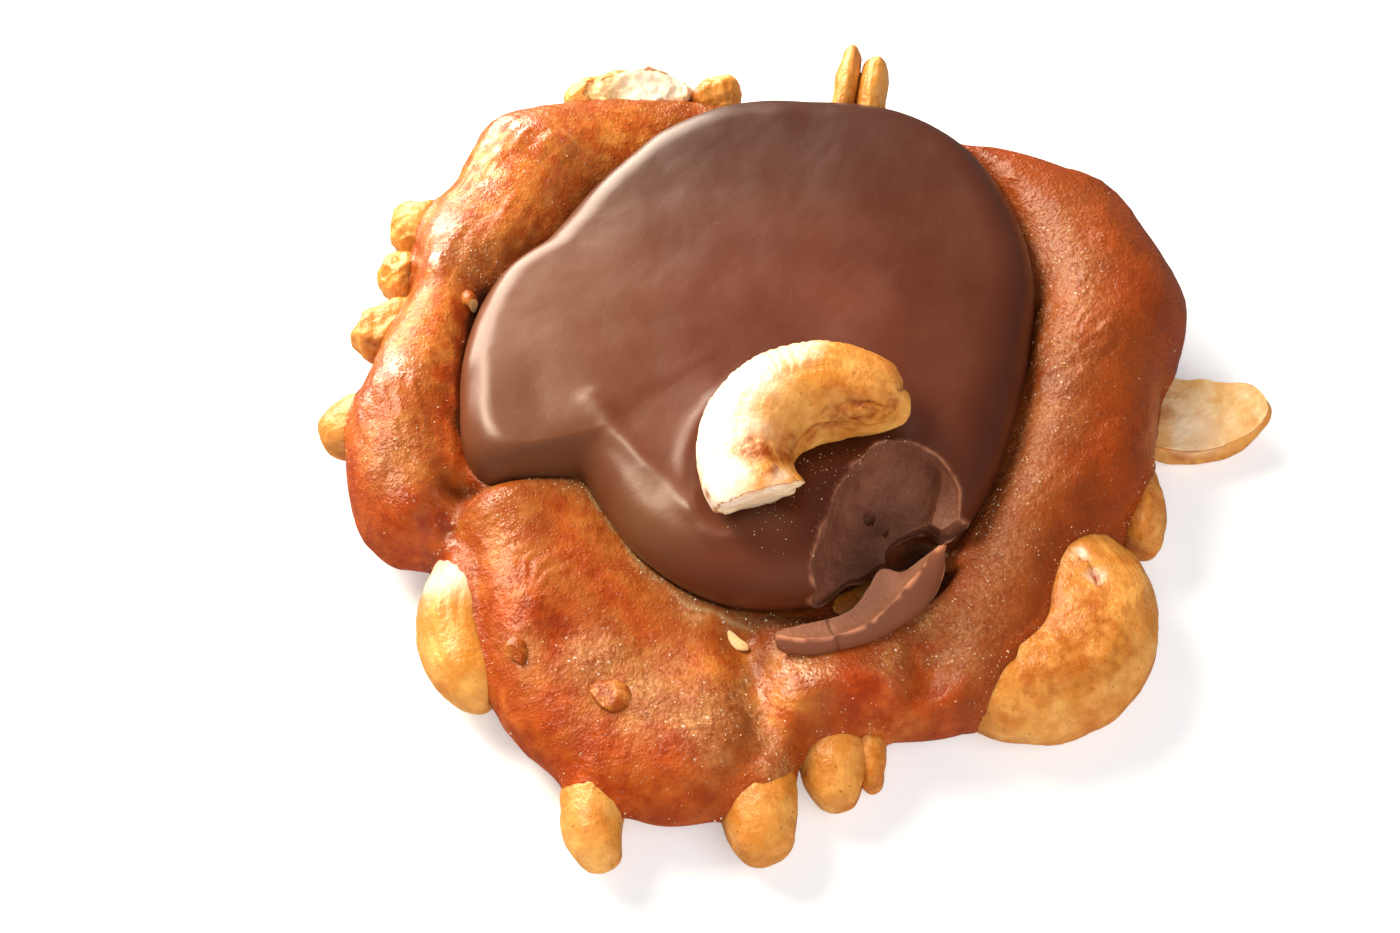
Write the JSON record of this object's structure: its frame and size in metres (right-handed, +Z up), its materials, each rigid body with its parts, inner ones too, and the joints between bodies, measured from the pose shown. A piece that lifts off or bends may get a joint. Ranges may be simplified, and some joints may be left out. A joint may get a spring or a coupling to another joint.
{
  "type": "chocolate cashew patty",
  "caption": "Round lump of soft caramel with cashews sticking out of its rim, topped with a broken disc of milk chocolate and a whole cashew.",
  "frame": {"origin": "on the floor under the patty, on the flat foot of the caramel", "axes": "+X to the right, +Y to the back and +Z up, as the patty lies with its chocolate side up and its break at the front right"},
  "size_m": [0.0847, 0.0836, 0.0221],
  "materials": {
    "caramel": "soft, translucent, glossy with matt sugary patches",
    "chocolate": "milk chocolate, satin on the poured side and matt where it is broken",
    "cashew": "roasted, slightly oily"
  },
  "bodies": {
    "root": {"caramel": "caramel", "chocolate": "chocolate", "chocolate_shard": "chocolate", "cashew_top": "cashew", "cashew_front_right": "cashew", "cashew_right": "cashew", "cashew_right_low": "cashew", "cashew_front_left": "cashew", "cashew_front_middle": "cashew", "cashew_front_centre": "cashew", "cashew_front_centre_half": "cashew", "cashew_left_front": "cashew", "cashew_left": "cashew", "cashew_left_back_low": "cashew", "cashew_left_back_middle": "cashew", "cashew_left_back_high": "cashew", "cashew_back_left": "cashew", "cashew_back_left_end": "cashew", "cashew_back_blade": "cashew", "cashew_back_half": "cashew", "cashew_under_break": "cashew"}
  },
  "joints": []
}
